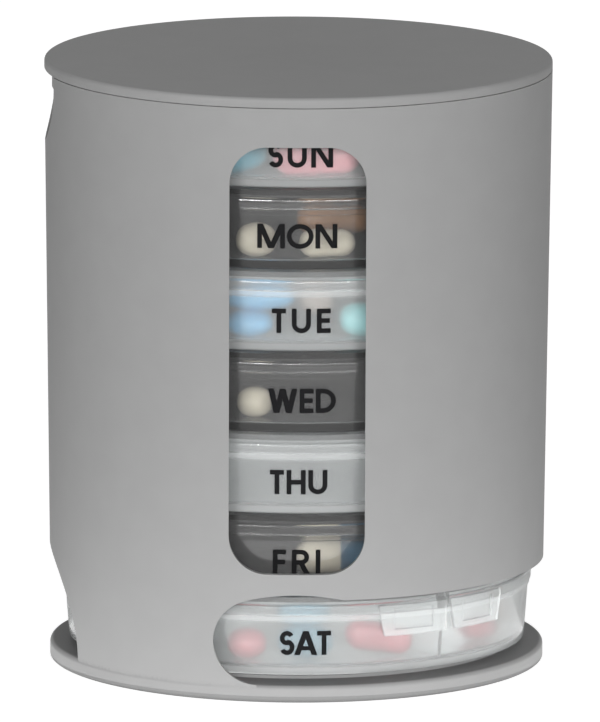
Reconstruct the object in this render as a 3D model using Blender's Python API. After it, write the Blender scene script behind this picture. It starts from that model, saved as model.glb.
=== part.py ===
"""Weekly pill dispenser: an oval tower with seven stacked trays, each closed by four hinged flaps.

Metres, +Z up. The origin is the centre of the underside. The window faces -Y, the bottom tray slides
out towards +X, and the finger arch and the thumb notch are at -X.
"""
from math import acos, atan2, cos, hypot, pi, sin, sqrt

import bmesh
import bpy
from mathutils import Vector

# Tower
TOWER_LENGTH = 0.1020
TOWER_DEPTH = 0.0880
DRAFT = 0.00145
WALL = 0.0012
FIT_GAP = 0.0003
OVERRUN = 0.0100
SINK = 0.0007
TOWER_FACETS = 90
CUT_FACETS = 64

# Floor and the low seat that the bottom tray stands on
FLOOR_THICKNESS = 0.0035
FLANGE_PROUD = 0.0003
FLANGE_TOP_ROUND = 0.0010
FLANGE_BOTTOM_ROUND = 0.0010
SEAT_RISE = 0.00055
SEAT_LEDGE = 0.0024
SEAT_CHAMFER = 0.0003

# Openings in the wall
WINDOW_WIDTH = 0.0271
WINDOW_CORNER = 0.0076
WINDOW_BELOW_RIM = 0.0074
WINDOW_ABOVE_SLOT = 0.0053
SLOT_REACH = 0.0166
RELIEF_WIDTH = 0.0186
RELIEF_RISE = 0.0011
ARCH_RADIUS = 0.0200
NOTCH_RADIUS = 0.0124
NOTCH_SINK = 0.0019

# Lid
LID_THICKNESS = 0.0023
LID_ROUND = 0.00075
LID_UNDER_ROUND = 0.0002
LID_HEADROOM = 0.0008
PLUG_DEPTH = 0.0042
PLUG_WALL = 0.0010
PLUG_GAP = 0.0003
PLUG_CHAMFER = 0.0003
LID_FACETS = 64

# Trays
DAYS = ("sat", "fri", "thu", "wed", "tue", "mon", "sun")
TRAY_HEIGHT = 0.01625
TRAY_END_GAP = 0.00095
TRAY_SIDE_GAP = 0.00235
TRAY_WALL = 0.0012
TRAY_FLOOR = 0.0015
TRAY_DRAFT = 0.0009
FOOT_ROUND = 0.0012
DIVIDER = 0.0014
POCKET_ROUND = 0.0010
RIDGE_HEIGHT = 0.0011
RIDGE_PROUD = 0.0003
RIDGE_INSET = 0.0005
SPINE_WIDTH = 0.0024
SPINE_END_INSET = 0.0006
TRAY_FACETS = 36
POCKET_ARC_FACETS = 7

# Flaps
FLAP_HEIGHT = 0.0036
PLATEAU_HEIGHT = 0.0016
SHOULDER = 0.0006
SKIRT_WALL = 0.0014
FLAP_PLATE = 0.0012
FLAP_ARC_FACETS = 7

# Snap tabs
TAB_WIDTH = 0.0145
TAB_TAPER = 0.0012
TAB_DROP = 0.0078
TAB_START = 0.0021
TAB_PROUD = 0.0006
TAB_FACETS = 3
RECESS_WIDTH = 0.0082
RECESS_TOP = 0.0028
RECESS_HEIGHT = 0.0043
RECESS_DEPTH = 0.0004

# Colours, roughness and alpha
GREY = ((0.36, 0.36, 0.36), 0.42, 1.0)
FROSTED = ((0.80, 0.82, 0.82), 0.35, 0.6)
SMOKY = ((0.42, 0.42, 0.42), 0.25, 0.6)

# Heights that follow from the sizes above
SEAT_TOP = FLOOR_THICKNESS + SEAT_RISE
PITCH = TRAY_HEIGHT + FIT_GAP
LID_UNDERSIDE = SEAT_TOP + len(DAYS) * PITCH + LID_HEADROOM
RIM = LID_UNDERSIDE - FIT_GAP
CUP_HEIGHT = TRAY_HEIGHT - FLAP_HEIGHT - FIT_GAP
SLOT_TOP = SEAT_TOP + PITCH + FIT_GAP

# Half lengths and half depths
RIM_HALF = (TOWER_LENGTH / 2, TOWER_DEPTH / 2)
FOOT_HALF = (RIM_HALF[0] - DRAFT, RIM_HALF[1] - DRAFT)
LID_OUTLINE = (FOOT_HALF[0] - WALL - TRAY_END_GAP, FOOT_HALF[1] - WALL - TRAY_SIDE_GAP)
CUP_INSET = RIDGE_INSET + RIDGE_PROUD
HINGE_OFFSET = (SPINE_WIDTH + FIT_GAP) / 2


def tower_half(z):
    """Half length and half depth of the tower's outside at height z."""
    lean = DRAFT * (1 - z / RIM)
    return (RIM_HALF[0] - lean, RIM_HALF[1] - lean)


def shrink(half, inset):
    return (half[0] - inset, half[1] - inset)


def corner(inset, z, radius, first, last, steps=2):
    """Profile points (inset, height) on a rounded edge: 0 faces out, pi / 2 up, -pi / 2 down."""
    points = []
    for step in range(steps + 1):
        angle = first + (last - first) * step / steps
        points.append((inset + radius * (1 - cos(angle)), z + radius * sin(angle)))
    return points


def oval(half, z, facets):
    """One ring of points around an ellipse."""
    turns = [2 * pi * step / facets for step in range(facets)]
    return [Vector((half[0] * cos(turn), half[1] * sin(turn), z)) for turn in turns]


def loft(name, rings):
    """A closed solid through rings of equally many points, capped at both ends."""
    mesh = bpy.data.meshes.new(name)
    bm = bmesh.new()
    loops = [[bm.verts.new(point) for point in ring] for ring in rings]
    count = len(loops[0])
    for lower, upper in zip(loops, loops[1:]):
        for step in range(count):
            after = (step + 1) % count
            bm.faces.new((lower[step], lower[after], upper[after], upper[step]))
    bm.faces.new(loops[0])
    bm.faces.new(loops[-1])
    bmesh.ops.recalc_face_normals(bm, faces=bm.faces)
    bm.to_mesh(mesh)
    bm.free()
    return bpy.data.objects.new(name, mesh)


def oval_loft(name, half, profile, facets):
    """A solid whose rings are ellipses, inset from half as the profile says."""
    return loft(name, [oval(shrink(half, inset), z, facets) for inset, z in profile])


def prism(name, outline, start, end):
    """A solid with an outline of (x, z) points, running along Y from start to end."""
    return loft(name, [[Vector((x, y, z)) for x, z in outline] for y in (start, end)])


def arc(centre, radius, first, last, steps):
    """Points of an arc about centre, both ends included."""
    angles = [first + (last - first) * step / steps for step in range(steps + 1)]
    return [(centre[0] + radius * cos(a), centre[1] + radius * sin(a)) for a in angles]


def cylinder_along_x(name, radius, start, end, height):
    """A cutter cylinder along X from start to end, its axis at the given height."""
    mesh = bpy.data.meshes.new(name)
    bm = bmesh.new()
    bmesh.ops.create_cone(bm, cap_ends=True, segments=CUT_FACETS, radius1=radius, radius2=radius,
                          depth=end - start)
    bmesh.ops.rotate(bm, verts=bm.verts, cent=(0, 0, 0), matrix=turn_z_to_x())
    bmesh.ops.translate(bm, verts=bm.verts, vec=((start + end) / 2, 0, height))
    bm.to_mesh(mesh)
    bm.free()
    return bpy.data.objects.new(name, mesh)


def turn_z_to_x():
    return Vector((0, 0, 1)).rotation_difference(Vector((1, 0, 0))).to_matrix()


def box(name, size, centre, turn=0.0):
    """A box of the given size, turned about Z and then moved to its centre."""
    mesh = bpy.data.meshes.new(name)
    bm = bmesh.new()
    bmesh.ops.create_cube(bm, size=1)
    bmesh.ops.scale(bm, verts=bm.verts, vec=size)
    bm.to_mesh(mesh)
    bm.free()
    piece = bpy.data.objects.new(name, mesh)
    piece.rotation_euler.z = turn
    piece.location = centre
    return piece


def boolean(target, operation, tool):
    modifier = target.modifiers.new(tool.name, "BOOLEAN")
    modifier.operation = operation
    modifier.solver = "EXACT"
    modifier.object = tool


def place_tool(piece, tools):
    tools.objects.link(piece)
    piece.hide_render = True
    piece.display_type = "WIRE"
    return piece


def baked(piece, parts):
    """The piece's mesh with its modifiers applied; the piece itself is removed."""
    parts.objects.link(piece)
    bpy.context.view_layer.update()
    evaluated = piece.evaluated_get(bpy.context.evaluated_depsgraph_get())
    mesh = bpy.data.meshes.new_from_object(evaluated)
    mesh.name = piece.name
    bpy.data.objects.remove(piece)
    return mesh


def smooth(mesh):
    mesh.shade_smooth()
    mesh.set_sharp_from_angle(angle=pi / 6)


def material(name, look):
    colour, roughness, alpha = look
    made = bpy.data.materials.new(name)
    made.use_nodes = True
    shader = made.node_tree.nodes["Principled BSDF"]
    shader.inputs["Base Color"].default_value = (*colour, 1)
    shader.inputs["Roughness"].default_value = roughness
    shader.inputs["Metallic"].default_value = 0
    shader.inputs["Alpha"].default_value = alpha
    return made


def floor_plate(tools):
    """The tower's floor: a flange with a rounded edge, and the low seat inside the wall."""
    half = shrink(FOOT_HALF, -FLANGE_PROUD)
    seat = FLANGE_PROUD + WALL + SEAT_LEDGE
    profile = corner(0, FLANGE_BOTTOM_ROUND, FLANGE_BOTTOM_ROUND, -pi / 2, 0, 1)
    profile += corner(0, FLOOR_THICKNESS - FLANGE_TOP_ROUND, FLANGE_TOP_ROUND, 0, pi / 2)
    profile += [(seat, FLOOR_THICKNESS), (seat + SEAT_CHAMFER, SEAT_TOP)]
    return place_tool(oval_loft("floor_plate", half, profile, TOWER_FACETS), tools)


def slot_outline():
    """The tray slot from the front: a half-round left end, and open past the wall at +X."""
    radius = (SLOT_TOP - FLOOR_THICKNESS) / 2
    centre = (radius - SLOT_REACH, FLOOR_THICKNESS + radius)
    end = RIM_HALF[0] + OVERRUN
    outline = arc(centre, radius, pi / 2, pi * 3 / 2, CUT_FACETS // 4)
    outline += [(centre[0], FLOOR_THICKNESS - SINK), (end, FLOOR_THICKNESS - SINK), (end, SLOT_TOP)]
    return outline


def relief_outline():
    """The shallow arch over the slot, in front of the tray's label."""
    radius = (RELIEF_WIDTH ** 2 / 4 + RELIEF_RISE ** 2) / (2 * RELIEF_RISE)
    half_angle = atan2(RELIEF_WIDTH / 2, radius - RELIEF_RISE)
    centre = (0, SLOT_TOP + RELIEF_RISE - radius)
    outline = arc(centre, radius, pi / 2 - half_angle, pi / 2 + half_angle, CUT_FACETS // 8)
    return outline + [(-RELIEF_WIDTH / 2, SLOT_TOP - SINK), (RELIEF_WIDTH / 2, SLOT_TOP - SINK)]


def window_outline():
    low, high = SLOT_TOP + WINDOW_ABOVE_SLOT, RIM - WINDOW_BELOW_RIM
    side = WINDOW_WIDTH / 2 - WINDOW_CORNER
    steps = CUT_FACETS // 8
    outline = []
    for quarter, (x, z) in enumerate(((side, high - WINDOW_CORNER), (-side, high - WINDOW_CORNER),
                                      (-side, low + WINDOW_CORNER), (side, low + WINDOW_CORNER))):
        outline += arc((x, z), WINDOW_CORNER, quarter * pi / 2, (quarter + 1) * pi / 2, steps)
    return outline


def make_housing(parts, tools):
    """The wall, cut by its five openings, on the floor plate."""
    foot = FLOOR_THICKNESS - 2 * SINK
    rings = [oval(shrink(tower_half(z), inset), z, TOWER_FACETS)
             for z, inset in ((foot, WALL), (foot, 0), (RIM, 0), (RIM, WALL))]
    housing = loft("housing", rings)
    close_tube(housing.data, TOWER_FACETS)
    front = -(RIM_HALF[1] + OVERRUN)
    left = -(RIM_HALF[0] + OVERRUN)
    inner = -RIM_HALF[0] / 2
    cutters = (prism("slot_cutter", slot_outline(), front, -front),
               prism("relief_cutter", relief_outline(), front, 0),
               prism("window_cutter", window_outline(), front, 0),
               cylinder_along_x("arch_cutter", ARCH_RADIUS, left, inner, FLOOR_THICKNESS),
               cylinder_along_x("notch_cutter", NOTCH_RADIUS, left, inner, RIM - NOTCH_SINK))
    parts.objects.link(housing)
    for cutter in cutters:
        boolean(housing, "DIFFERENCE", place_tool(cutter, tools))
    boolean(housing, "UNION", floor_plate(tools))
    return housing


def close_tube(mesh, count):
    """Turn a lofted plug into a tube: the caps go, and the last ring joins the first."""
    bm = bmesh.new()
    bm.from_mesh(mesh)
    caps = [face for face in bm.faces if len(face.verts) == count]
    bmesh.ops.delete(bm, geom=caps, context="FACES_ONLY")
    edges = [edge for edge in bm.edges if edge.is_boundary]
    bmesh.ops.bridge_loops(bm, edges=edges)
    bmesh.ops.recalc_face_normals(bm, faces=bm.faces)
    bm.to_mesh(mesh)
    bm.free()


def make_lid(parts):
    """The flat lid about its own underside, with the plug skirt beneath it."""
    plug = WALL + DRAFT * PLUG_DEPTH / RIM + PLUG_GAP
    profile = [(plug + PLUG_WALL, 0), (plug + PLUG_WALL, -PLUG_DEPTH),
               (plug + PLUG_CHAMFER, -PLUG_DEPTH), (plug, PLUG_CHAMFER - PLUG_DEPTH), (plug, 0)]
    profile += corner(0, LID_UNDER_ROUND, LID_UNDER_ROUND, -pi / 2, 0, 1)
    profile += corner(0, LID_THICKNESS - LID_ROUND, LID_ROUND, 0, pi / 2)
    lid = oval_loft("top_lid", RIM_HALF, profile, LID_FACETS)
    parts.objects.link(lid)
    return lid


def sector(half, spine, split, inset, facets, right):
    """A quarter of the oval as (x, y) points, anticlockwise.

    The spine runs from the front left to the back right, the split across it. The front quarter
    lies on the spine's front right side, before the split, and the right quarter behind it.
    """
    a, b = shrink(half, inset)
    reach = hypot(a, b) / sqrt(2)
    tilt = atan2(b, a)
    spine, split = spine + inset, split + inset
    if right:
        first, last = tilt - acos(split / reach), acos(spine / reach) - tilt
    else:
        first, last = -tilt - acos(spine / reach), tilt - acos(-split / reach)
    points = []
    for step in range(facets + 1):
        angle = first + (last - first) * step / facets
        points.append((a * cos(angle), b * sin(angle)))
    along = split if right else -split
    points.append(((along + spine) / sqrt(2), (along - spine) / sqrt(2)))
    return points


def sector_loft(name, half, spine, split, profile, facets, right, draft=0.0):
    """A quarter-oval solid; its outer side leans in by draft from the cup's rim to its foot."""
    rings = []
    for inset, z in profile:
        outline = sector(shrink(half, draft * cup_depth_share(z)), spine, split, inset, facets, right)
        rings.append([Vector((x, y, z)) for x, y in outline])
    return loft(name, rings)


def cup_depth_share(z):
    """0 at the cup's rim, 1 at its foot."""
    return 1 - z / CUP_HEIGHT


def pocket_cutters(tools):
    """The four compartments of a tray, two of them turned half round from the others."""
    half = shrink(LID_OUTLINE, CUP_INSET + TRAY_WALL)
    profile = corner(0, TRAY_FLOOR + POCKET_ROUND, POCKET_ROUND, -pi / 2, 0)
    profile.append((0, CUP_HEIGHT + OVERRUN))
    cutters = []
    for turn in (0, pi):
        for right in (False, True):
            name = "pocket_cutter_%d" % len(cutters)
            cutter = sector_loft(name, half, DIVIDER / 2, DIVIDER / 2, profile, POCKET_ARC_FACETS, right,
                                 TRAY_DRAFT)
            cutter.rotation_euler.z = turn
            cutters.append(place_tool(cutter, tools))
    return cutters


def tray_mesh(parts, tools):
    """A tray about its own floor: cup, ridge under the flaps, crossed dividers and hinge spine."""
    outer = shrink(LID_OUTLINE, CUP_INSET)
    ridge_foot = CUP_HEIGHT - RIDGE_HEIGHT
    foot_lean, ridge_lean = [TRAY_DRAFT * cup_depth_share(z) for z in (FOOT_ROUND, ridge_foot)]
    profile = corner(foot_lean, FOOT_ROUND, FOOT_ROUND, -pi / 2, 0)
    profile += [(ridge_lean, ridge_foot), (-RIDGE_PROUD, ridge_foot), (-RIDGE_PROUD, CUP_HEIGHT)]
    tray = oval_loft("tray", outer, profile, TRAY_FACETS)
    for cutter in pocket_cutters(tools):
        boolean(tray, "DIFFERENCE", cutter)
    a, b = LID_OUTLINE
    reach = sqrt(2) * a * b / hypot(a, b) - SPINE_END_INSET
    foot = CUP_HEIGHT - SINK
    size = (2 * reach, SPINE_WIDTH, TRAY_HEIGHT - foot)
    spine = box("spine_bar", size, (0, 0, (TRAY_HEIGHT + foot) / 2), pi / 4)
    boolean(tray, "UNION", place_tool(spine, tools))
    mesh = baked(tray, parts)
    smooth(mesh)
    return mesh


def bent_slab(name, first, last, taper, outer, inner, top, bottom, facets):
    """A slab along the flap's edge between two angles, narrower at the bottom by taper each side."""
    rings = []
    for step in range(facets + 1):
        share = step / facets
        upper = first + (last - first) * share
        lower = first + taper + (last - first - 2 * taper) * share
        ring = []
        for angle, inset, z in ((upper, outer, top), (upper, inner, top),
                                (lower, inner, bottom), (lower, outer, bottom)):
            a, b = shrink(LID_OUTLINE, inset)
            ring.append(Vector((a * cos(angle), b * sin(angle), z)))
        rings.append(ring)
    return loft(name, rings)


def tab_tools(right, tools):
    """The snap tab beside the split, and the finger recess in its face."""
    a, b = LID_OUTLINE
    split = sector(LID_OUTLINE, 0, FIT_GAP / 2, 0, 1, right)[0 if right else 1]
    angle = atan2(split[1] / b, split[0] / a)
    rate = hypot(a * sin(angle), b * cos(angle))
    way = 1 if right else -1
    edges = sorted((angle + way * FIT_GAP / rate, angle + way * (FIT_GAP + TAB_WIDTH) / rate))
    middle = sum(edges) / 2
    tab = bent_slab("tab_%d" % right, *edges, TAB_TAPER / rate, -TAB_PROUD, RIDGE_INSET - FIT_GAP,
                    -TAB_START, -TAB_DROP, TAB_FACETS)
    reach = RECESS_WIDTH / 2 / rate
    recess = bent_slab("recess_%d" % right, middle - reach, middle + reach, 0, -TAB_PROUD - SINK,
                       RECESS_DEPTH - TAB_PROUD, -RECESS_TOP, -RECESS_TOP - RECESS_HEIGHT, 1)
    return place_tool(tab, tools), place_tool(recess, tools)


def hinge_point():
    """A point on the hinge line of the front and right flaps, level with the flaps' tops."""
    return Vector((HINGE_OFFSET, -HINGE_OFFSET, 0)) / sqrt(2)


def flap_mesh(right, parts, tools):
    """A quarter-oval flap about its hinge line: plateau, shoulder, skirt, and the snap tab."""
    profile = [(SHOULDER, 0), (SHOULDER, -PLATEAU_HEIGHT), (0, -PLATEAU_HEIGHT - SHOULDER),
               (0, -FLAP_HEIGHT), (SKIRT_WALL, -FLAP_HEIGHT), (SKIRT_WALL, -FLAP_PLATE)]
    spine = SPINE_WIDTH / 2 + FIT_GAP
    flap = sector_loft("flap_%d" % right, LID_OUTLINE, spine, FIT_GAP / 2, profile, FLAP_ARC_FACETS,
                       right)
    tab, recess = tab_tools(right, tools)
    boolean(flap, "UNION", tab)
    boolean(flap, "DIFFERENCE", recess)
    mesh = baked(flap, parts)
    for vertex in mesh.vertices:
        vertex.co -= hinge_point()
    smooth(mesh)
    return mesh


def add_node(name, mesh, look, parent, parts):
    """One part that may share its mesh with others, so its material sits on the object."""
    node = bpy.data.objects.new(name, mesh)
    parts.objects.link(node)
    if not mesh.materials:
        mesh.materials.append(None)
    node.material_slots[0].link = "OBJECT"
    node.material_slots[0].material = look
    node.parent = parent
    return node


def add_flaps(day, tray, meshes, look, parts):
    """Four flaps round a tray; the back and left ones are the front and right ones turned round."""
    for side, right, turn in (("front", 0, 0), ("right", 1, 0), ("back", 0, pi), ("left", 1, pi)):
        flap = add_node("flap_%s_%s" % (day, side), meshes[right], look, tray, parts)
        point = hinge_point() * cos(turn)
        flap.location = (point.x, point.y, TRAY_HEIGHT)
        flap.rotation_euler.z = turn


def make_trays(housing, parts, tools):
    """The stack, from the bottom up. The tower carries the two lowest trays, since the bottom one
    slides out from under the next, and every other tray rides on the one below it."""
    looks = (material("frosted_plastic", FROSTED), material("smoky_plastic", SMOKY))
    cup = tray_mesh(parts, tools)
    flaps = [flap_mesh(right, parts, tools) for right in (False, True)]
    carrier, carrier_height = housing, 0
    for level, day in enumerate(DAYS):
        height = SEAT_TOP + FIT_GAP + level * PITCH
        look = looks[level % 2]
        tray = add_node("tray_" + day, cup, look, carrier, parts)
        tray.location.z = height - carrier_height
        add_flaps(day, tray, flaps, look, parts)
        if level:
            carrier, carrier_height = tray, height
    return carrier, carrier_height


def main():
    for existing in list(bpy.data.objects):
        bpy.data.objects.remove(existing, do_unlink=True)
    parts = bpy.data.collections.new("weekly_pill_dispenser")
    tools = bpy.data.collections.new("cutters")
    for collection in (parts, tools):
        bpy.context.scene.collection.children.link(collection)
    grey = material("grey_plastic", GREY)
    housing = make_housing(parts, tools)
    lid = make_lid(parts)
    for piece in (housing, lid):
        piece.data.materials.append(grey)
        smooth(piece.data)
    lid.parent, carrier_height = make_trays(housing, parts, tools)
    lid.location.z = LID_UNDERSIDE - carrier_height


main()
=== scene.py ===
"""Looks of a weekly pill dispenser: finer meshes over the frame, finishes, tablets and light."""
from math import acos, atan2, cos, hypot, pi, radians, sin, sqrt, tan

import bmesh
import bpy
from mathutils import Matrix, Vector


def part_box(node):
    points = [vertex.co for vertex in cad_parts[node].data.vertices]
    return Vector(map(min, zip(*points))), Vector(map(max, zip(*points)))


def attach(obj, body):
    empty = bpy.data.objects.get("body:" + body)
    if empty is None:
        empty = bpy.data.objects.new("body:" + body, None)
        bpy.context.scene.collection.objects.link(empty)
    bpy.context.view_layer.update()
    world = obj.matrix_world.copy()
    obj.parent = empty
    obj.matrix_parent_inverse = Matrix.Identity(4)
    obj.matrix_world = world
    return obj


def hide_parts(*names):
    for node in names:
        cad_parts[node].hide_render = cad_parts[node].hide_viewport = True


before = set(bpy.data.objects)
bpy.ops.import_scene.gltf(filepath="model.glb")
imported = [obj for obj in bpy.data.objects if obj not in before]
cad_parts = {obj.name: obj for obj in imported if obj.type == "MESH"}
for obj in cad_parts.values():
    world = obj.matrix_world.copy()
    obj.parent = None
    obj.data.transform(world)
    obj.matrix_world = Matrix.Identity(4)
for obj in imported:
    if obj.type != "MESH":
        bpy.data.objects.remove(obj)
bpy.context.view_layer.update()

# Lengths are in metres. Most are the frame's own. The draft, the flange, the seat, the lid's band
# and the trays' running gaps, feet, dividers, ribs and tabs follow the photo more finely.

# The tower
LID_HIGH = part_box("top_lid")[1]
DAYS = ("sat", "fri", "thu", "wed", "tue", "mon", "sun")
TRAY_LOW = {day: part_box("tray_" + day)[0].z for day in DAYS}
TRAY_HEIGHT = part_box("tray_sat")[1].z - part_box("tray_sat")[0].z
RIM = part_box("housing")[1].z
RIM_HALF = (LID_HIGH.x, LID_HIGH.y)
DRAFT = 0.00135
WALL = 0.0012
FIT_GAP = 0.0003
OVERRUN = 0.0100
SINK = 0.0007
FLOOR_THICKNESS = 0.0035
FLANGE_PROUD = 0.0002
FLANGE_TOP_ROUND = 0.0010
FLANGE_BOTTOM_ROUND = 0.0004
SEAT_RISE = 0.00055
SEAT_LEDGE = 0.0049
SEAT_CHAMFER = 0.0003
WINDOW_WIDTH = 0.0271
WINDOW_CORNER = 0.0076
WINDOW_BELOW_RIM = 0.0074
WINDOW_ABOVE_SLOT = 0.0053
SLOT_REACH = 0.0166
RELIEF_WIDTH = 0.0186
RELIEF_RISE = 0.0011
ARCH_RADIUS = 0.0200
NOTCH_RADIUS = 0.0124
NOTCH_SINK = 0.0019

# The lid
LID_THICKNESS = 0.0019
RIM_RISE = 0.0004
LID_ROUND = 0.00075
LID_UNDER_ROUND = 0.0002
LID_CLOSE = 0.00022
PLUG_DEPTH = 0.0042
PLUG_WALL = 0.0010
PLUG_GAP = 0.0003
PLUG_CHAMFER = 0.0003

# The trays and flaps
TRAY_END_GAP = 0.00105
TRAY_SIDE_GAP = 0.00245
TRAY_WALL = 0.0012
TRAY_FLOOR = 0.0015
TRAY_DRAFT = 0.0009
FOOT_ROUND = 0.0005
DIVIDER = 0.0006
POCKET_ROUND = 0.0010
RIDGE_HEIGHT = 0.0011
RIDGE_PROUD = 0.0002
RIDGE_INSET = 0.0003
SPINE_WIDTH = 0.0024
SPINE_END_INSET = 0.0006
FLAP_HEIGHT = 0.0036
FLAP_CLOSE = 0.00024
PLATEAU_HEIGHT = 0.0016
SHOULDER = 0.0006
SHOULDER_FACE = 0.0005
SHOULDER_LEAN = radians(13)
SKIRT_WALL = 0.0014
FLAP_PLATE = 0.0012
TAB_WIDTH = 0.0145
TAB_TAPER = 0.0012
TAB_DROP = 0.0083
TAB_START = 0.0021
TAB_PROUD = 0.0006
TAB_CLOSE = 0.0001
RECESS_WIDTH = 0.0082
RECESS_TOP = 0.0028
RECESS_HEIGHT = 0.0043
RECESS_DEPTH = 0.0004

# How fine the meshes are, and how soft their edges
TOWER_FACETS = 288
CUT_FACETS = 128
TRAY_FACETS = 160
ARC_FACETS = 40
TAB_FACETS = 10
WALL_EDGE = 0.00022
TRAY_EDGE = 0.00014
LID_EDGE = 0.00019
# A ring this far above the floor keeps the flange from streaking the wall's shading
SHADING_BAND = 0.0004

FOOT_HALF = (RIM_HALF[0] - DRAFT, RIM_HALF[1] - DRAFT)
LID_OUTLINE = (FOOT_HALF[0] - WALL - TRAY_END_GAP, FOOT_HALF[1] - WALL - TRAY_SIDE_GAP)
CUP_HEIGHT = TRAY_HEIGHT - FLAP_HEIGHT - FIT_GAP
CUP_INSET = RIDGE_INSET + RIDGE_PROUD
SEAT_TOP = FLOOR_THICKNESS + SEAT_RISE
SLOT_TOP = SEAT_TOP + TRAY_HEIGHT + 2 * FIT_GAP


# Materials

BODY_GREY = (0.325, 0.325, 0.325)
# Painted shade: the darker colour of the floor inside the slot and the arch, standing in for its
# shade
FLOOR_PAINTED_SHADE = (0.15, 0.15, 0.15)
# Faces that look up this much, within the lowest share of the piece's height, take the painted
# shade
FLOOR_FACING = (0.80, 1.0)
FLOOR_SHARE = 0.05
# Colour, roughness, transmission, share of light passing straight through, unevenness of the colour
FROSTED = (0.89, 0.91, 0.91), 0.24, 0.86, 0.92, 0.02
SMOKY = (0.58, 0.58, 0.58), 0.15, 0.94, 0.96, 0.03
PLASTIC_IOR = 1.46
PLASTIC_COAT = 0.6
PLASTIC_COAT_ROUGHNESS = 0.05
INK = (0.010, 0.010, 0.011)
BUMP_DETAIL = 3.0
TINT_SPAN = (0.3, 0.7)
# The sockets of a mix node that mixes colours
MIX_SHARE, MIX_FIRST, MIX_SECOND, MIX_RESULT = 0, 6, 7, 2


def shader_of(name):
    made = bpy.data.materials.new(name)
    made.use_nodes = True
    return made, made.node_tree.nodes, made.node_tree.links, made.node_tree.nodes["Principled BSDF"]


def add_bump(nodes, links, shader, scale, strength, distance):
    """Fine moulded texture from noise in object space."""
    place = nodes.new("ShaderNodeTexCoord")
    noise = nodes.new("ShaderNodeTexNoise")
    noise.inputs["Scale"].default_value = scale
    noise.inputs["Detail"].default_value = BUMP_DETAIL
    bump = nodes.new("ShaderNodeBump")
    bump.inputs["Strength"].default_value = strength
    bump.inputs["Distance"].default_value = distance
    links.new(place.outputs["Object"], noise.inputs["Vector"])
    links.new(noise.outputs["Fac"], bump.inputs["Height"])
    links.new(bump.outputs["Normal"], shader.inputs["Normal"])
    return place


def add_tint(nodes, links, shader, place, colour, spread, scale):
    """Faint uneven colour, as in moulded plastic."""
    noise = nodes.new("ShaderNodeTexNoise")
    noise.inputs["Scale"].default_value = scale
    ramp = nodes.new("ShaderNodeValToRGB")
    points = ramp.color_ramp.elements
    for point, share, position in zip(points, (1 - spread, 1 + spread), TINT_SPAN):
        point.color = (*[part * share for part in colour], 1)
        point.position = position
    links.new(place.outputs["Object"], noise.inputs["Vector"])
    links.new(noise.outputs["Fac"], ramp.inputs["Fac"])
    links.new(ramp.outputs["Color"], shader.inputs["Base Color"])


def add_painted_floor_shade(nodes, links, shader, place, tone):
    """Painted shade: a darker colour on the floor that the slot and the arch show, standing in for
    the shade that falls there.
    """
    plain_colour = shader.inputs["Base Color"].links[0].from_socket
    normal = nodes.new("ShaderNodeSeparateXYZ")
    height = nodes.new("ShaderNodeSeparateXYZ")
    upward = nodes.new("ShaderNodeMapRange")
    upward.inputs["From Min"].default_value, upward.inputs["From Max"].default_value = FLOOR_FACING
    low = nodes.new("ShaderNodeMath")
    low.operation = "LESS_THAN"
    low.inputs[1].default_value = FLOOR_SHARE
    both = nodes.new("ShaderNodeMath")
    both.operation = "MULTIPLY"
    mix = nodes.new("ShaderNodeMix")
    mix.data_type = "RGBA"
    mix.inputs[MIX_SECOND].default_value = (*tone, 1)
    links.new(place.outputs["Normal"], normal.inputs[0])
    links.new(place.outputs["Generated"], height.inputs[0])
    links.new(normal.outputs["Z"], upward.inputs["Value"])
    links.new(height.outputs["Z"], low.inputs[0])
    links.new(upward.outputs["Result"], both.inputs[0])
    links.new(low.outputs[0], both.inputs[1])
    links.new(both.outputs[0], mix.inputs[MIX_SHARE])
    links.new(plain_colour, mix.inputs[MIX_FIRST])
    links.new(mix.outputs[MIX_RESULT], shader.inputs["Base Color"])


def satin_grey():
    made, nodes, links, shader = shader_of("satin_grey")
    shader.inputs["Roughness"].default_value = 0.44
    shader.inputs["Specular IOR Level"].default_value = 0.4
    place = add_bump(nodes, links, shader, scale=5200, strength=0.16, distance=0.00004)
    add_tint(nodes, links, shader, place, BODY_GREY, spread=0.015, scale=160)
    # Painted shade on the floor inside the slot and the arch
    add_painted_floor_shade(nodes, links, shader, place, FLOOR_PAINTED_SHADE)
    return made


def translucent(name, colour, roughness, transmission, passing, spread, bands=()):
    """Cloudy or smoky clear plastic. Its shadow passes a share of the light to what is inside it.

    Bands are (share of the piece's height, transmission) from its foot up.
    """
    made, nodes, links, shader = shader_of(name)
    shader.inputs["Roughness"].default_value = roughness
    shader.inputs["IOR"].default_value = PLASTIC_IOR
    shader.inputs["Transmission Weight"].default_value = transmission
    place = add_bump(nodes, links, shader, scale=1400, strength=0.08, distance=0.00005)
    add_tint(nodes, links, shader, place, colour, spread, scale=90)
    shader.inputs["Coat Weight"].default_value = PLASTIC_COAT
    shader.inputs["Coat Roughness"].default_value = PLASTIC_COAT_ROUGHNESS
    if bands:
        add_bands(nodes, links, shader, place, bands)
    clear = nodes.new("ShaderNodeBsdfTransparent")
    clear.inputs["Color"].default_value = (passing, passing, passing, 1)
    path = nodes.new("ShaderNodeLightPath")
    mix = nodes.new("ShaderNodeMixShader")
    links.new(path.outputs["Is Shadow Ray"], mix.inputs["Fac"])
    links.new(shader.outputs[0], mix.inputs[1])
    links.new(clear.outputs[0], mix.inputs[2])
    links.new(mix.outputs[0], nodes["Material Output"].inputs["Surface"])
    return made


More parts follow.
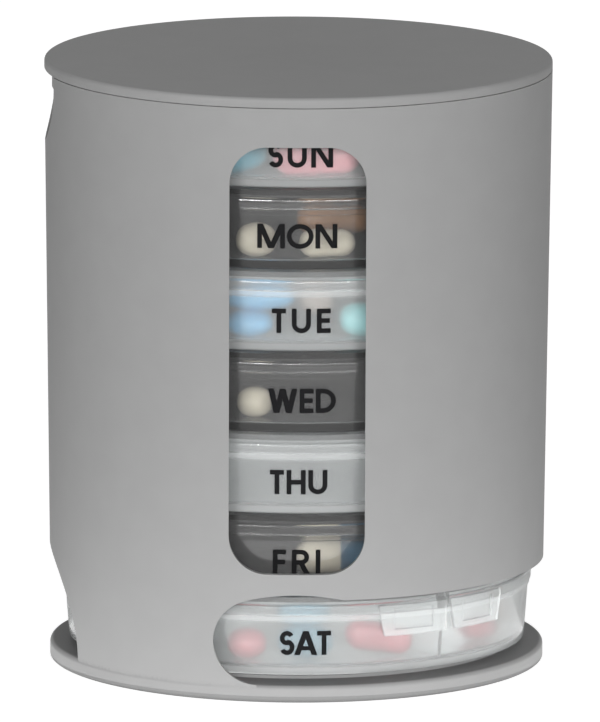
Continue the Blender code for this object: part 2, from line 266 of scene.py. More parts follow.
def add_bands(nodes, links, shader, place, bands):
    """Transmission that changes with the piece's height."""
    height = nodes.new("ShaderNodeSeparateXYZ")
    ramp = nodes.new("ShaderNodeValToRGB")
    points = ramp.color_ramp.elements
    for number, (share, transmission) in enumerate(bands):
        # A new ramp already has two points
        point = points[number] if number < 2 else points.new(share)
        point.position = share
        point.color = (transmission, transmission, transmission, 1)
    links.new(place.outputs["Generated"], height.inputs[0])
    links.new(height.outputs["Z"], ramp.inputs["Fac"])
    links.new(ramp.outputs["Color"], shader.inputs["Transmission Weight"])


def frosted_bands():
    """For a cup and for a flap: cloudier in the foot, the rib and the tab, which are thicker."""
    heights = (TRAY_FLOOR, CUP_HEIGHT - RIDGE_HEIGHT, CUP_HEIGHT)
    floor, ridge, rim = [z / TRAY_HEIGHT for z in heights]
    tab_top = 1 - (FLAP_HEIGHT + FLAP_CLOSE) / TAB_DROP
    foot, side, rib = 0.64, 0.86, 0.68
    cup = ((floor, foot), (floor + 0.03, side), (ridge - 0.03, side),
           (ridge + 0.02, rib), (rim, rib), (rim + 0.02, side))
    tab, plate = 0.74, 0.84
    return cup, ((tab_top, tab), (tab_top + 0.04, plate))


def plain(name, colour, roughness, specular, coat=0.0):
    made, nodes, links, shader = shader_of(name)
    shader.inputs["Roughness"].default_value = roughness
    shader.inputs["Specular IOR Level"].default_value = specular
    shader.inputs["Coat Weight"].default_value = coat
    place = add_bump(nodes, links, shader, scale=2600, strength=0.1, distance=0.00004)
    add_tint(nodes, links, shader, place, colour, spread=0.04, scale=300)
    return made


# Meshes

BEVEL_FROM_ANGLE = 0.6
LID_SHARP_ANGLE = radians(40)


def shrink(half, inset):
    return (half[0] - inset, half[1] - inset)


def tower_half(z):
    lean = DRAFT * (1 - min(z / RIM, 1))
    return (RIM_HALF[0] - lean, RIM_HALF[1] - lean)


def corner(inset, z, radius, first, last, steps=5):
    """Profile points (inset, height) on a rounded edge: 0 faces out, pi / 2 up, -pi / 2 down."""
    points = []
    for step in range(steps + 1):
        angle = first + (last - first) * step / steps
        points.append((inset + radius * (1 - cos(angle)), z + radius * sin(angle)))
    return points


def oval(half, z, facets):
    turns = [2 * pi * step / facets for step in range(facets)]
    return [Vector((half[0] * cos(turn), half[1] * sin(turn), z)) for turn in turns]


def loft_mesh(name, rings, closed=False):
    """A solid through rings of equally many points, capped, or closed on itself as a tube."""
    mesh = bpy.data.meshes.new(name)
    bm = bmesh.new()
    loops = [[bm.verts.new(point) for point in ring] for ring in rings]
    count = len(loops[0])
    pairs = list(zip(loops, loops[1:]))
    if closed:
        pairs.append((loops[-1], loops[0]))
    for lower, upper in pairs:
        for step in range(count):
            after = (step + 1) % count
            bm.faces.new((lower[step], lower[after], upper[after], upper[step]))
    if not closed:
        bm.faces.new(loops[0])
        bm.faces.new(loops[-1])
    bmesh.ops.recalc_face_normals(bm, faces=bm.faces)
    bm.to_mesh(mesh)
    bm.free()
    return mesh


def shown(name, mesh):
    made = bpy.data.objects.new(name, mesh)
    bpy.context.scene.collection.objects.link(made)
    return made


def oval_loft(name, half, profile, facets):
    return loft_mesh(name, [oval(shrink(half, inset), z, facets) for inset, z in profile])


def prism(name, outline, start, end):
    return loft_mesh(name, [[Vector((x, y, z)) for x, z in outline] for y in (start, end)])


def arc(centre, radius, first, last, steps):
    angles = [first + (last - first) * step / steps for step in range(steps + 1)]
    return [(centre[0] + radius * cos(a), centre[1] + radius * sin(a)) for a in angles]


def cylinder_along_x(name, radius, start, end, height):
    turns = [2 * pi * step / CUT_FACETS for step in range(CUT_FACETS)]
    ring = [(radius * cos(turn), height + radius * sin(turn)) for turn in turns]
    return loft_mesh(name, [[Vector((x, y, z)) for y, z in ring] for x in (start, end)])


def combine(target, steps):
    """The target's mesh after a chain of Booleans; the target and the tools are removed."""
    tools = []
    for operation, mesh in steps:
        tool = shown(mesh.name, mesh)
        tools.append(tool)
        modifier = target.modifiers.new(mesh.name, "BOOLEAN")
        modifier.operation = operation
        modifier.solver = "EXACT"
        modifier.object = tool
    bpy.context.view_layer.update()
    evaluated = target.evaluated_get(bpy.context.evaluated_depsgraph_get())
    mesh = bpy.data.meshes.new_from_object(evaluated)
    mesh.name = target.name
    for piece in (target, *tools):
        bpy.data.objects.remove(piece)
    return mesh


def soften(piece, width, segments=3):
    """Small rounded edges, with the flat and curved faces keeping their own shading."""
    piece.data.shade_smooth()
    bevel = piece.modifiers.new("edge", "BEVEL")
    bevel.width = width
    bevel.segments = segments
    bevel.limit_method = "ANGLE"
    bevel.angle_limit = BEVEL_FROM_ANGLE
    weighted = piece.modifiers.new("shading", "WEIGHTED_NORMAL")
    weighted.keep_sharp = False


def dress(piece, look, body, slot=None, *nodes):
    """Give a piece its look, the body it rides and the frame's nodes it stands in for. The slot is
    not used.
    """
    if look:
        piece.data.materials.clear()
        piece.data.materials.append(look)
    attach(piece, body)
    if nodes:
        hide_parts(*nodes)
    return piece


# Tower and lid

def floor_plate_mesh():
    half = shrink(FOOT_HALF, -FLANGE_PROUD)
    seat = FLANGE_PROUD + WALL + SEAT_LEDGE
    profile = corner(0, FLANGE_BOTTOM_ROUND, FLANGE_BOTTOM_ROUND, -pi / 2, 0)
    profile += corner(0, FLOOR_THICKNESS - FLANGE_TOP_ROUND, FLANGE_TOP_ROUND, 0, pi / 2)
    profile += [(seat, FLOOR_THICKNESS), (seat + SEAT_CHAMFER, SEAT_TOP)]
    return oval_loft("floor_plate", half, profile, TOWER_FACETS)


def slot_outline():
    radius = (SLOT_TOP - FLOOR_THICKNESS) / 2
    centre = (radius - SLOT_REACH, FLOOR_THICKNESS + radius)
    foot, end = FLOOR_THICKNESS - SINK, RIM_HALF[0] + OVERRUN
    outline = arc(centre, radius, pi / 2, pi * 3 / 2, CUT_FACETS // 4)
    return outline + [(centre[0], foot), (end, foot), (end, SLOT_TOP)]


def relief_outline():
    """The shallow rise in the slot's upper edge."""
    radius = (RELIEF_WIDTH ** 2 / 4 + RELIEF_RISE ** 2) / (2 * RELIEF_RISE)
    half_angle = atan2(RELIEF_WIDTH / 2, radius - RELIEF_RISE)
    centre = (0, SLOT_TOP + RELIEF_RISE - radius)
    outline = arc(centre, radius, pi / 2 - half_angle, pi / 2 + half_angle, CUT_FACETS // 8)
    return outline + [(-RELIEF_WIDTH / 2, SLOT_TOP - SINK), (RELIEF_WIDTH / 2, SLOT_TOP - SINK)]


def window_outline():
    side = WINDOW_WIDTH / 2 - WINDOW_CORNER
    low = SLOT_TOP + WINDOW_ABOVE_SLOT + WINDOW_CORNER
    high = RIM - WINDOW_BELOW_RIM - WINDOW_CORNER
    outline = []
    for quarter, centre in enumerate(((side, high), (-side, high), (-side, low), (side, low))):
        first, last = quarter * pi / 2, (quarter + 1) * pi / 2
        outline += arc(centre, WINDOW_CORNER, first, last, CUT_FACETS // 8)
    return outline


def make_housing(look):
    foot, guard, top = FLOOR_THICKNESS - 2 * SINK, FLOOR_THICKNESS + SHADING_BAND, RIM + RIM_RISE
    rings = [oval(shrink(tower_half(z), inset), z, TOWER_FACETS)
             for z, inset in ((foot, WALL), (foot, 0), (guard, 0), (top, 0), (top, WALL))]
    wall = shown("tower_wall", loft_mesh("tower_wall", rings, closed=True))
    front = -(RIM_HALF[1] + OVERRUN)
    left = -(RIM_HALF[0] + OVERRUN)
    inner = -RIM_HALF[0] / 2
    mesh = combine(wall, (
        ("DIFFERENCE", prism("slot_cut", slot_outline(), front, -front)),
        ("DIFFERENCE", prism("relief_cut", relief_outline(), front, 0)),
        ("DIFFERENCE", prism("window_cut", window_outline(), front, 0)),
        ("DIFFERENCE", cylinder_along_x("arch_cut", ARCH_RADIUS, left, inner, FLOOR_THICKNESS)),
        ("DIFFERENCE", cylinder_along_x("notch_cut", NOTCH_RADIUS, left, inner, RIM - NOTCH_SINK)),
        ("UNION", floor_plate_mesh())))
    tower = shown("tower_shell", mesh)
    soften(tower, WALL_EDGE)
    return dress(tower, look, "housing", "grey_plastic", "housing")


def make_lid(look):
    plug = WALL + DRAFT * PLUG_DEPTH / RIM + PLUG_GAP
    profile = [(plug + PLUG_WALL, 0), (plug + PLUG_WALL, -PLUG_DEPTH),
               (plug + PLUG_CHAMFER, -PLUG_DEPTH), (plug, PLUG_CHAMFER - PLUG_DEPTH),
               (plug, -LID_CLOSE)]
    profile += corner(0, LID_UNDER_ROUND - LID_CLOSE, LID_UNDER_ROUND, -pi / 2, 0, steps=2)
    profile += corner(0, LID_THICKNESS - LID_ROUND, LID_ROUND, 0, pi / 2, steps=8)
    lid = shown("lid_cap", oval_loft("lid_cap", RIM_HALF, profile, TOWER_FACETS))
    lid.data.transform(Matrix.Translation((0, 0, LID_HIGH.z - LID_THICKNESS)))
    lid.data.shade_smooth()
    lid.data.set_sharp_from_angle(angle=LID_SHARP_ANGLE)
    return dress(lid, look, "top_lid", "grey_plastic", "top_lid")


# Trays and flaps

def sector(half, spine, split, inset, right, facets=ARC_FACETS):
    """A quarter of the oval as (x, y) points, as the frame's flaps are cut."""
    a, b = shrink(half, inset)
    reach = hypot(a, b) / sqrt(2)
    tilt = atan2(b, a)
    spine, split = spine + inset, split + inset
    if right:
        first, last = tilt - acos(split / reach), acos(spine / reach) - tilt
    else:
        first, last = -tilt - acos(spine / reach), tilt - acos(-split / reach)
    points = []
    for step in range(facets + 1):
        angle = first + (last - first) * step / facets
        points.append((a * cos(angle), b * sin(angle)))
    along = split if right else -split
    points.append(((along + spine) / sqrt(2), (along - spine) / sqrt(2)))
    return points


def cup_depth_share(z):
    """0 at the cup's rim, 1 at its foot."""
    return 1 - z / CUP_HEIGHT


def pocket_mesh(name, right, turn):
    """The hollow of one compartment, leaning with the cup's wall."""
    half = shrink(LID_OUTLINE, CUP_INSET + TRAY_WALL)
    profile = corner(0, TRAY_FLOOR + POCKET_ROUND, POCKET_ROUND, -pi / 2, 0)
    profile.append((0, CUP_HEIGHT + OVERRUN))
    rings = []
    for inset, z in profile:
        leaning = shrink(half, TRAY_DRAFT * cup_depth_share(z))
        outline = sector(leaning, DIVIDER / 2, DIVIDER / 2, inset, right)
        rings.append([Vector((x, y, z)) for x, y in outline])
    mesh = loft_mesh(name, rings)
    mesh.transform(Matrix.Rotation(turn, 4, "Z"))
    return mesh


def spine_mesh():
    """The bar between the flaps, which they hinge on."""
    a, b = LID_OUTLINE
    reach = sqrt(2) * a * b / hypot(a, b) - SPINE_END_INSET
    foot = CUP_HEIGHT - SINK
    mesh = bpy.data.meshes.new("spine_bar")
    bm = bmesh.new()
    bmesh.ops.create_cube(bm, size=1)
    bmesh.ops.scale(bm, verts=bm.verts, vec=(2 * reach, SPINE_WIDTH, TRAY_HEIGHT - foot))
    bmesh.ops.translate(bm, verts=bm.verts, vec=(0, 0, (TRAY_HEIGHT + foot) / 2))
    bmesh.ops.rotate(bm, verts=bm.verts, cent=(0, 0, 0), matrix=Matrix.Rotation(pi / 4, 3, "Z"))
    bm.to_mesh(mesh)
    bm.free()
    return mesh


def cup_mesh():
    """One tray, with its underside at zero height."""
    outer = shrink(LID_OUTLINE, CUP_INSET)
    ridge_foot = CUP_HEIGHT - RIDGE_HEIGHT
    foot_lean, ridge_lean = [TRAY_DRAFT * cup_depth_share(z) for z in (FOOT_ROUND, ridge_foot)]
    profile = corner(foot_lean, FOOT_ROUND, FOOT_ROUND, -pi / 2, 0)
    profile += [(ridge_lean, ridge_foot), (-RIDGE_PROUD, ridge_foot), (-RIDGE_PROUD, CUP_HEIGHT)]
    body = shown("cup", oval_loft("cup", outer, profile, TRAY_FACETS))
    steps = []
    for turn in (0, pi):
        for right in (False, True):
            steps.append(("DIFFERENCE", pocket_mesh("pocket_%d" % len(steps), right, turn)))
    steps.append(("UNION", spine_mesh()))
    return combine(body, steps)


def bent_slab(name, first, last, tapers, outer, inner, top, bottom):
    """A slab along the oval between two angles; the tapers shorten its foot at either end."""
    rings = []
    for step in range(TAB_FACETS + 1):
        share = step / TAB_FACETS
        upper = first + (last - first) * share
        lower = first + tapers[0] + (last - first - sum(tapers)) * share
        ring = []
        for angle, inset, z in ((upper, outer, top), (upper, inner, top),
                                (lower, inner, bottom), (lower, outer, bottom)):
            a, b = shrink(LID_OUTLINE, inset)
            ring.append(Vector((a * cos(angle), b * sin(angle), z)))
        rings.append(ring)
    return loft_mesh(name, rings)


def tab_steps(right):
    """The snap tab and the recess in its face, beside the gap to the neighbouring flap."""
    a, b = LID_OUTLINE
    split = sector(LID_OUTLINE, 0, FIT_GAP / 2, 0, right, facets=1)[0 if right else 1]
    angle = atan2(split[1] / b, split[0] / a)
    rate = hypot(a * sin(angle), b * cos(angle))
    way = 1 if right else -1
    edges = sorted((angle + way * FIT_GAP / rate, angle + way * (FIT_GAP + TAB_WIDTH) / rate))
    middle = sum(edges) / 2
    reach = RECESS_WIDTH / 2 / rate
    tapers = (TAB_TAPER / rate, TAB_TAPER / rate if right else 0)
    tab = bent_slab("tab", *edges, tapers, -TAB_PROUD, RIDGE_INSET - TAB_CLOSE,
                    -TAB_START, -TAB_DROP)
    recess = bent_slab("recess", middle - reach, middle + reach, (0, 0), -TAB_PROUD - SINK,
                       RECESS_DEPTH - TAB_PROUD, -RECESS_TOP, -RECESS_TOP - RECESS_HEIGHT)
    return (("UNION", tab), ("DIFFERENCE", recess))


def flap_mesh(right):
    """One flap, with the top of its tray at zero height."""
    lean = SHOULDER_FACE * tan(SHOULDER_LEAN)
    radius = SHOULDER - lean
    middle = -PLATEAU_HEIGHT - radius
    foot = -FLAP_HEIGHT - FLAP_CLOSE
    profile = [(SHOULDER, 0)] + corner(lean, middle, radius, pi / 2, SHOULDER_LEAN)
    profile += [(0, middle - SHOULDER_FACE), (0, foot)]
    spine, split = SPINE_WIDTH / 2 + FIT_GAP, FIT_GAP / 2
    outlines = [(sector(shrink(LID_OUTLINE, inset), spine, split, 0, right), z)
                for inset, z in profile]
    inside = sector(LID_OUTLINE, spine, split, SKIRT_WALL, right)
    outlines += [(inside, foot), (inside, -FLAP_PLATE)]
    rings = [[Vector((x, y, z)) for x, y in outline] for outline, z in outlines]
    return combine(shown("flap", loft_mesh("flap", rings)), tab_steps(right))


# For each flap: its side, whether it has the right-hand shape, and its turn
FLAP_SIDES = (("front", False, 0), ("right", True, 0), ("back", False, pi), ("left", True, pi))


def make_trays(looks):
    """Looks are ((cup's, flap's), slot), for the frosted trays and for the smoky ones between."""
    cup = cup_mesh()
    flaps = [flap_mesh(right) for right in (False, True)]
    for level, day in enumerate(DAYS):
        (cup_look, flap_look), slot = looks[level % 2]
        place = Matrix.Translation((0, 0, TRAY_LOW[day]))
        tray = shown("%s_cup" % day, cup.copy())
        tray.data.transform(place)
        soften(tray, TRAY_EDGE, segments=2)
        dress(tray, cup_look, "tray_" + day, slot, "tray_" + day)
        for side, right, turn in FLAP_SIDES:
            node = "flap_%s_%s" % (day, side)
            flap = shown("%s_%s_cover" % (day, side), flaps[right].copy())
            top = Matrix.Translation((0, 0, TRAY_LOW[day] + TRAY_HEIGHT))
            flap.data.transform(top @ Matrix.Rotation(turn, 4, "Z"))
            soften(flap, LID_EDGE)
            dress(flap, flap_look, node, slot, node)


# Weekday labels. Widths and strokes of letters are in cap heights

CAP_HEIGHT = 0.0050
STROKE = 0.19
DIAGONAL = 0.115
CURVE_STEPS = 20
INK_PROUD = 0.00007
INK_SUNK = 0.00006
LETTER_WIDTHS = {"S": 0.60, "U": 0.76, "N": 0.87, "M": 1.10, "O": 1.07, "T": 0.56, "E": 0.55,
                 "W": 1.17, "D": 0.80, "H": 0.76, "F": 0.53, "R": 0.72, "I": 0.19, "A": 0.93}
# For each day: the word, its centre and width along X, and its foot above the tray's underside
LABELS = {"sun": ("SUN", 0.0005, 0.0129, 0.0042), "mon": ("MON", -0.0001, 0.0159, 0.0044),
          "tue": ("TUE", 0.00075, 0.0117, 0.0038), "wed": ("WED", 0.00095, 0.0135, 0.0041),
          "thu": ("THU", 0.00035, 0.01145, 0.0041), "fri": ("FRI", 0.0, 0.0095, 0.0044),
          "sat": ("SAT", 0.0018, 0.0103, 0.0043)}


def bar(x0, x1, z0, z1):
    return [(x0, z0), (x1, z0), (x1, z1), (x0, z1)]


def diagonal(top, foot):
    """A slanting stroke from the cap line down to the baseline."""
    return [(foot - DIAGONAL, 0), (foot + DIAGONAL, 0), (top + DIAGONAL, 1), (top - DIAGONAL, 1)]


def bend(x, z, rx, rz, first, last):
    """Points of an elliptical arc between two angles in degrees."""
    points = []
    for step in range(CURVE_STEPS + 1):
        turn = radians(first + (last - first) * step / CURVE_STEPS)
        points.append((x + rx * cos(turn), z + rz * sin(turn)))
    return points


def curved_strokes(letter, w):
    """The bent strokes' centre lines, as (points, closed)."""
    m = STROKE / 2
    r = w / 2 - m
    if letter == "S":
        upper = bend(w / 2, 0.70, r * 0.94, 0.30 - m, 28, 270)
        return [(upper + bend(w / 2, 0.275 + m / 2, r, 0.275 - m / 2, 90, -152)[1:], False)]
    if letter == "U":
        return [([(m, 1)] + bend(w / 2, w / 2, r, r, 180, 360) + [(w - m, 1)], False)]
    if letter == "O":
        return [(bend(w / 2, 0.5, r, 0.51 - m, 0, 360)[:-1], True)]
    if letter == "D":
        return [([(m, m)] + bend(w - m - 0.42, 0.5, 0.42, 0.5 - m, -90, 90) + [(m, 1 - m)], False)]
    if letter == "R":
        bowl = bend(w * 0.52, 0.69, 0.22, 0.31 - m, 90, -90)
        return [([(m, 1 - m)] + bowl + [(m, 0.38 + m)], False)]
    return []


def straight_strokes(letter, w):
    """The straight strokes' outlines."""
    m = STROKE / 2
    stem, far_stem, top = bar(0, STROKE, 0, 1), bar(w - STROKE, w, 0, 1), bar(0, w, 1 - STROKE, 1)
    left, right = DIAGONAL, w - DIAGONAL
    hip, leg = w * 0.66, 2 * DIAGONAL
    return {"N": [stem, far_stem, diagonal(left, right)],
            "M": [stem, far_stem, diagonal(left, w / 2), diagonal(right, w / 2)],
            "T": [top, bar(w / 2 - m, w / 2 + m, 0, 1)],
            "E": [stem, top, bar(0, w, 0, STROKE), bar(0, w * 0.94, 0.51 - m, 0.51 + m)],
            "W": [diagonal(left, w * 0.29), diagonal(w / 2, w * 0.29), diagonal(w / 2, w * 0.71),
                  diagonal(right, w * 0.71)],
            "D": [stem], "I": [stem],
            "H": [stem, far_stem, bar(0, w, 0.5 - m, 0.5 + m)],
            "F": [stem, top, bar(0, w * 0.92, 0.49 - m, 0.49 + m)],
            "R": [stem, [(w - leg, 0), (w, 0), (hip, 0.47), (hip - leg, 0.47)]],
            "A": [diagonal(w / 2, left), diagonal(w / 2, right),
                  bar(w * 0.2, w * 0.8, 0.2, 0.2 + STROKE * 0.9)],
            }.get(letter, [])


def stroke_mesh(name, points, closed):
    """A bent stroke of the pen's width along a centre line."""
    rings = []
    count = len(points)
    for step, (x, z) in enumerate(points):
        before = points[step - 1] if step or closed else points[0]
        after = points[(step + 1) % count] if step + 1 < count or closed else points[-1]
        way = Vector((after[0] - before[0], after[1] - before[1])).normalized() * STROKE / 2
        left, right = (x - way.y, z + way.x), (x + way.y, z - way.x)
        front = [Vector((side[0], -INK_PROUD, side[1])) for side in (left, right)]
        back = [Vector((side[0], INK_SUNK, side[1])) for side in (right, left)]
        rings.append(front + back)
    return loft_mesh(name, rings, closed)


def letter_mesh(letter, w):
    meshes = [stroke_mesh("curve", *stroke) for stroke in curved_strokes(letter, w)]
    meshes += [prism("stroke", outline, -INK_PROUD, INK_SUNK)
               for outline in straight_strokes(letter, w)]
    first = shown("letter", meshes[0])
    return combine(first, [("UNION", mesh) for mesh in meshes[1:]])


def tray_front(x, height):
    """Where the cup's face lies along Y, at a place along X and a height above its underside."""
    a, b = shrink(LID_OUTLINE, CUP_INSET + TRAY_DRAFT * cup_depth_share(height))
    return -b * sqrt(1 - (x / a) ** 2)


def make_labels(ink):
    for day, (word, centre, width, foot) in LABELS.items():
        widths = [LETTER_WIDTHS[letter] for letter in word]
        gap = (width / CAP_HEIGHT - sum(widths)) / (len(word) - 1)
        start = centre - width / 2
        bm = bmesh.new()
        for letter, w in zip(word, widths):
            mesh = letter_mesh(letter, w)
            for vertex in mesh.vertices:
                x, depth, z = vertex.co
                x, z = start + x * CAP_HEIGHT, foot + z * CAP_HEIGHT
                vertex.co = (x, tray_front(x, z) + depth, TRAY_LOW[day] + z)
            bm.from_mesh(mesh)
            start += (w + gap) * CAP_HEIGHT
        label = bpy.data.meshes.new(day + "_label")
        bm.to_mesh(label)
        bm.free()
        dress(shown(day + "_label", label), ink, "tray_" + day)


# Tablets and capsules

PILL_FACETS = 40
PILL_STEPS = 28
SEAM_STEP = 0.96
SEAM_WIDTH = 0.02
OVAL_FULLNESS = 0.8
PILL_COLOURS = {"teal": (0.03, 0.31, 0.42), "pink": (0.80, 0.30, 0.34), "cream": (0.97, 0.90, 0.72),
                "brown": (0.34, 0.17, 0.07), "blue": (0.12, 0.38, 0.62), "aqua": (0.30, 0.70, 0.72),
                "navy": (0.07, 0.20, 0.32), "sky": (0.13, 0.28, 0.36), "beige": (0.38, 0.31, 0.27),
                "rose": (0.48, 0.14, 0.16)}
# For each: kind, (length, width, height), colours, (x, y), height above the tray's floor, and
# turn and tilt in degrees
PILLS = {
    "sun": (("oval", (0.0150, 0.0090, 0.0078), ("teal",), (-0.0136, -0.0291), 0, 10, 0),
            ("capsule", (0.0176, 0.0074, 0.0074), ("pink", "pink"), (0.0036, -0.0304), 0, 0, 0)),
    "mon": (("oval", (0.0080, 0.0074, 0.0068), ("cream",), (-0.0082, -0.0311), 0, 0, 0),
            ("capsule", (0.0112, 0.0056, 0.0056), ("cream", "cream"), (0.0058, -0.0312), 0, 4, 0),
            ("capsule", (0.0145, 0.0054, 0.0054), ("brown", "brown"), (0.0070, -0.0244),
             0.0034, 3, 0)),
    "tue": (("oval", (0.0096, 0.0080, 0.0052), ("blue",), (-0.0096, -0.0290), 0, 0, 0),
            ("oval", (0.0136, 0.0074, 0.0052), ("blue",), (-0.0074, -0.0276), 0.0048, 6, 0),
            ("oval", (0.0070, 0.0060, 0.0050), ("beige",), (0.0038, -0.0225), 0.0030, 0, 8),
            ("oval", (0.0078, 0.0072, 0.0066), ("aqua",), (0.0122, -0.0285), 0, 0, 0)),
    "wed": (("oval", (0.0070, 0.0066, 0.0060), ("cream",), (-0.0084, -0.0288), 0, 0, 0),),
    "fri": (("capsule", (0.0180, 0.0065, 0.0065), ("cream", "navy"), (0.0087, -0.0228), 0, 2, 0),),
    "sat": (("oval", (0.0078, 0.0070, 0.0060), ("rose",), (-0.0098, -0.0278), 0, 0, 0),
            ("oval", (0.0112, 0.0080, 0.0068), ("sky",), (0.0018, -0.0276), 0, 0, 0),
            ("oval", (0.0106, 0.0074, 0.0048), ("sky",), (0.0014, -0.0270), 0.0064, 8, 0),
            ("capsule", (0.0136, 0.0060, 0.0060), ("rose", "rose"), (0.0164, -0.0258),
             0.0004, 4, 9),
            ("oval", (0.0076, 0.0060, 0.0044), ("rose",), (0.0362, -0.0100), 0, 30, 0),
            ("oval", (0.0036, 0.0090, 0.0078), ("beige",), (0.0404, 0.0010), 0, 0, 0)),
}


def turned_mesh(name, outline):
    """A solid turned about X through (x, radius) points; its ends are single points."""
    mesh = bpy.data.meshes.new(name)
    bm = bmesh.new()
    turns = [2 * pi * step / PILL_FACETS for step in range(PILL_FACETS)]
    tips = [bm.verts.new((x, 0, 0)) for x, radius in (outline[0], outline[-1])]
    rings = [[bm.verts.new((x, radius * cos(t), radius * sin(t))) for t in turns]
             for x, radius in outline[1:-1]]
    for step in range(PILL_FACETS):
        after = (step + 1) % PILL_FACETS
        bm.faces.new((tips[0], rings[0][after], rings[0][step]))
        bm.faces.new((tips[1], rings[-1][step], rings[-1][after]))
        for lower, upper in zip(rings, rings[1:]):
            bm.faces.new((lower[step], lower[after], upper[after], upper[step]))
    bmesh.ops.recalc_face_normals(bm, faces=bm.faces)
    bm.to_mesh(mesh)
    bm.free()
    return mesh


def capsule_outline(length):
    """Two round-ended halves, the wider slipped over the other. The radius is 1/2."""
    straight = (length - 1) / 2
    turns = [pi / 2 * step / PILL_STEPS for step in range(PILL_STEPS + 1)]
    left = [(-straight - cos(t) / 2, sin(t) / 2) for t in turns]
    right = [(straight + cos(t) / 2, SEAM_STEP * sin(t) / 2) for t in reversed(turns)]
    return left + [(0, 0.5), (SEAM_WIDTH, SEAM_STEP / 2)] + right


def oval_outline(length):
    """A domed tablet, fuller than an ellipse."""
    points = []
    for step in range(2 * PILL_STEPS + 1):
        turn = pi * step / (2 * PILL_STEPS)
        points.append((-length / 2 * cos(turn), abs(sin(turn)) ** OVAL_FULLNESS / 2))
    return points


def make_pills(looks):
    for day, pills in PILLS.items():
        for number, (kind, size, colours, place, height, turn, tilt) in enumerate(pills):
            length, width, depth = size
            name = "%s_%s_%d" % (day, kind, number + 1)
            outline = (capsule_outline if kind == "capsule" else oval_outline)(length / width)
            mesh = turned_mesh(name, outline)
            mesh.transform(Matrix.Diagonal((width, width, depth, 1)))
            for colour in dict.fromkeys(colours):
                mesh.materials.append(looks[colour])
            if len(mesh.materials) > 1:
                for face in mesh.polygons:
                    face.material_index = int(face.center.x > 0)
            turned = Matrix.Rotation(radians(turn), 4, "Z")
            mesh.transform(turned @ Matrix.Rotation(radians(tilt), 4, "Y"))
            low = min(vertex.co.z for vertex in mesh.vertices)
            floor = TRAY_LOW[day] + TRAY_FLOOR + height
            mesh.transform(Matrix.Translation((*place, floor - low)))
            mesh.shade_smooth()
            dress(shown(name, mesh), None, "tray_" + day)


# Stage, light and camera

CAMERA_DISTANCE = 2.6
CAMERA_ELEVATION = radians(12.2)
CAMERA_ROLL = radians(0.218)
CAMERA_AIM = Vector((0.00053, 0, 0.0605))
SENSOR = 36
FOCAL_PIXELS = 12897
PHOTO_HEIGHT = 722
CLIP_END = 50
# How much of the pale surround each kind of ray sees; camera rays see all of it
SEEN_SHARES = {"Is Glossy Ray": 0.12, "Is Transmission Ray": 0.25}
# The surround's strength where it only lights, and where it is seen
SURROUND_STRENGTHS = (0.28, 1.0)
# The white table's tone where it only reflects light, and its tone and glow where it is seen
TABLE_TONE = 0.85
TABLE_TONE_SEEN = 0.32
TABLE_GLOW_SEEN = 0.90
TABLE_SIZE = 6
TOWER_MIDDLE = (0, 0, 0.06)
# For each lamp: place, size and power. They face the tower's middle
LAMPS = {"key": ((0.25, -1.6, 0.45), (1.0, 0.8), 7.8),
         "back_fill": ((0.2, 1.6, 0.3), (1.0, 0.8), 7),
         "left_box": ((-0.44, -1.13, 0.37), (0.48, 0.085), 3.6),
         "middle_strip": ((0.02, -1.195, 0.37), (0.30, 0.025), 1.0),
         "right_strip": ((0.45, -1.12, 0.37), (0.47, 0.025), 1.5)}
# Lamps that leave no highlight
SOFT_LAMPS = ("key", "back_fill")
# Lamps flat on the table that face up and stand in for its light: height and power
TABLE_LAMPS = {"table_glow": (0.0008, 0.078), "foot_glow": (0.0002, 0.036)}
TABLE_LAMP_SIZE = (0.22, 0.20)
TABLE_LAMP_Y = -0.02


def make_camera():
    data = bpy.data.cameras.new("camera")
    data.sensor_width = SENSOR
    data.lens = FOCAL_PIXELS * SENSOR / PHOTO_HEIGHT
    data.clip_end = CLIP_END
    camera = bpy.data.objects.new("camera", data)
    bpy.context.scene.collection.objects.link(camera)
    back = Vector((0, -cos(CAMERA_ELEVATION), sin(CAMERA_ELEVATION)))
    turn = Matrix.Rotation(pi / 2 - CAMERA_ELEVATION, 4, "X") @ Matrix.Rotation(CAMERA_ROLL, 4, "Z")
    camera.matrix_world = Matrix.Translation(CAMERA_AIM + back * CAMERA_DISTANCE) @ turn
    bpy.context.scene.camera = camera


def seen_ray(nodes, links):
    """1 for camera rays, and less for glossy and transmitted ones."""
    path = nodes.new("ShaderNodeLightPath")
    seen = path.outputs["Is Camera Ray"]
    for kind, share in SEEN_SHARES.items():
        part = nodes.new("ShaderNodeMath")
        part.operation = "MULTIPLY"
        part.inputs[1].default_value = share
        links.new(path.outputs[kind], part.inputs[0])
        most = nodes.new("ShaderNodeMath")
        most.operation = "MAXIMUM"
        links.new(seen, most.inputs[0])
        links.new(part.outputs[0], most.inputs[1])
        seen = most.outputs[0]
    return seen


def make_world():
    world = bpy.data.worlds.new("surround")
    bpy.context.scene.world = world
    world.use_nodes = True
    nodes, links = world.node_tree.nodes, world.node_tree.links
    background = nodes["Background"]
    background.inputs["Color"].default_value = (1, 1, 1, 1)
    strength = nodes.new("ShaderNodeMapRange")
    strength.inputs["To Min"].default_value = SURROUND_STRENGTHS[0]
    strength.inputs["To Max"].default_value = SURROUND_STRENGTHS[1]
    links.new(seen_ray(nodes, links), strength.inputs["Value"])
    links.new(strength.outputs["Result"], background.inputs["Strength"])


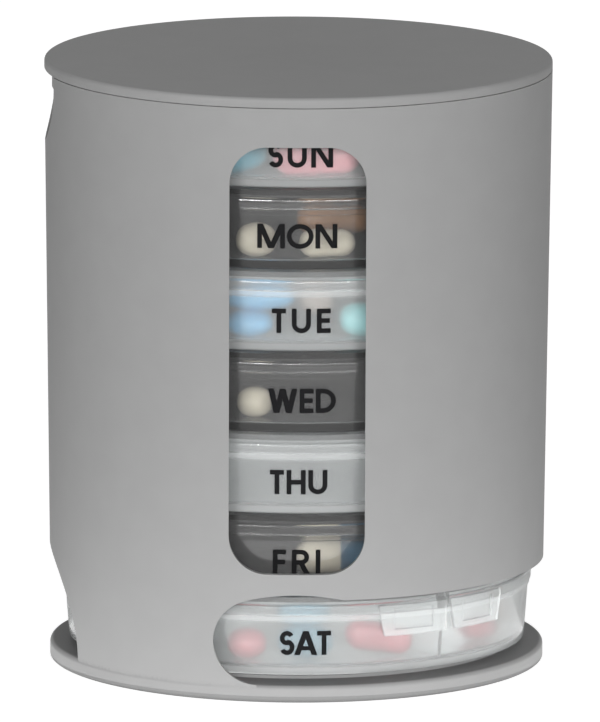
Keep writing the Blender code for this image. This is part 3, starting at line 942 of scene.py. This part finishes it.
def make_floor():
    made = bpy.data.materials.new("white_floor")
    made.use_nodes = True
    nodes, links = made.node_tree.nodes, made.node_tree.links
    nodes.remove(nodes["Principled BSDF"])
    diffuse = nodes.new("ShaderNodeBsdfDiffuse")
    diffuse.inputs["Color"].default_value = (TABLE_TONE, TABLE_TONE, TABLE_TONE, 1)
    pale = nodes.new("ShaderNodeBsdfDiffuse")
    pale.inputs["Color"].default_value = (TABLE_TONE_SEEN, TABLE_TONE_SEEN, TABLE_TONE_SEEN, 1)
    glow = nodes.new("ShaderNodeEmission")
    glow.inputs["Strength"].default_value = TABLE_GLOW_SEEN
    seen = nodes.new("ShaderNodeAddShader")
    mix = nodes.new("ShaderNodeMixShader")
    links.new(pale.outputs[0], seen.inputs[0])
    links.new(glow.outputs[0], seen.inputs[1])
    links.new(seen_ray(nodes, links), mix.inputs["Fac"])
    links.new(diffuse.outputs[0], mix.inputs[1])
    links.new(seen.outputs[0], mix.inputs[2])
    links.new(mix.outputs[0], nodes["Material Output"].inputs["Surface"])
    mesh = bpy.data.meshes.new("floor")
    bm = bmesh.new()
    bmesh.ops.create_grid(bm, x_segments=1, y_segments=1, size=TABLE_SIZE)
    bm.to_mesh(mesh)
    bm.free()
    floor = shown("floor", mesh)
    floor.data.materials.append(made)


def area_light(name, place, target, size, power):
    data = bpy.data.lights.new(name, "AREA")
    data.shape = "RECTANGLE"
    data.size, data.size_y = size
    data.energy = power
    lamp = bpy.data.objects.new(name, data)
    bpy.context.scene.collection.objects.link(lamp)
    lamp.location = place
    aim = Vector(target) - Vector(place)
    lamp.rotation_euler = aim.to_track_quat("-Z", "Y").to_euler()
    lamp.visible_camera = False
    return lamp


def make_lights():
    for name, (place, size, power) in LAMPS.items():
        lamp = area_light(name, place, TOWER_MIDDLE, size, power)
        lamp.visible_glossy = name not in SOFT_LAMPS
    for name, (height, power) in TABLE_LAMPS.items():
        glow = area_light(name, (0, TABLE_LAMP_Y, height), (0, 0, 1), TABLE_LAMP_SIZE, power)
        glow.data.shape = "ELLIPSE"
        glow.visible_transmission = False


def main():
    grey = satin_grey()
    cup_bands, flap_bands = frosted_bands()
    frosted = (translucent("frosted_cup", *FROSTED, cup_bands),
               translucent("frosted_flap", *FROSTED, flap_bands))
    smoky = (translucent("smoky_cup", *SMOKY), translucent("smoky_flap", *SMOKY))
    make_housing(grey)
    make_lid(grey)
    make_trays(((frosted, "frosted_plastic"), (smoky, "smoky_plastic")))
    make_labels(plain("label_ink", INK, roughness=0.6, specular=0.1))
    make_pills({name: plain(name + "_tablet", colour, roughness=0.35, specular=0.5, coat=0.4)
                for name, colour in PILL_COLOURS.items()})
    make_floor()
    make_world()
    make_lights()
    make_camera()
    bpy.context.scene.view_settings.view_transform = "Standard"


main()
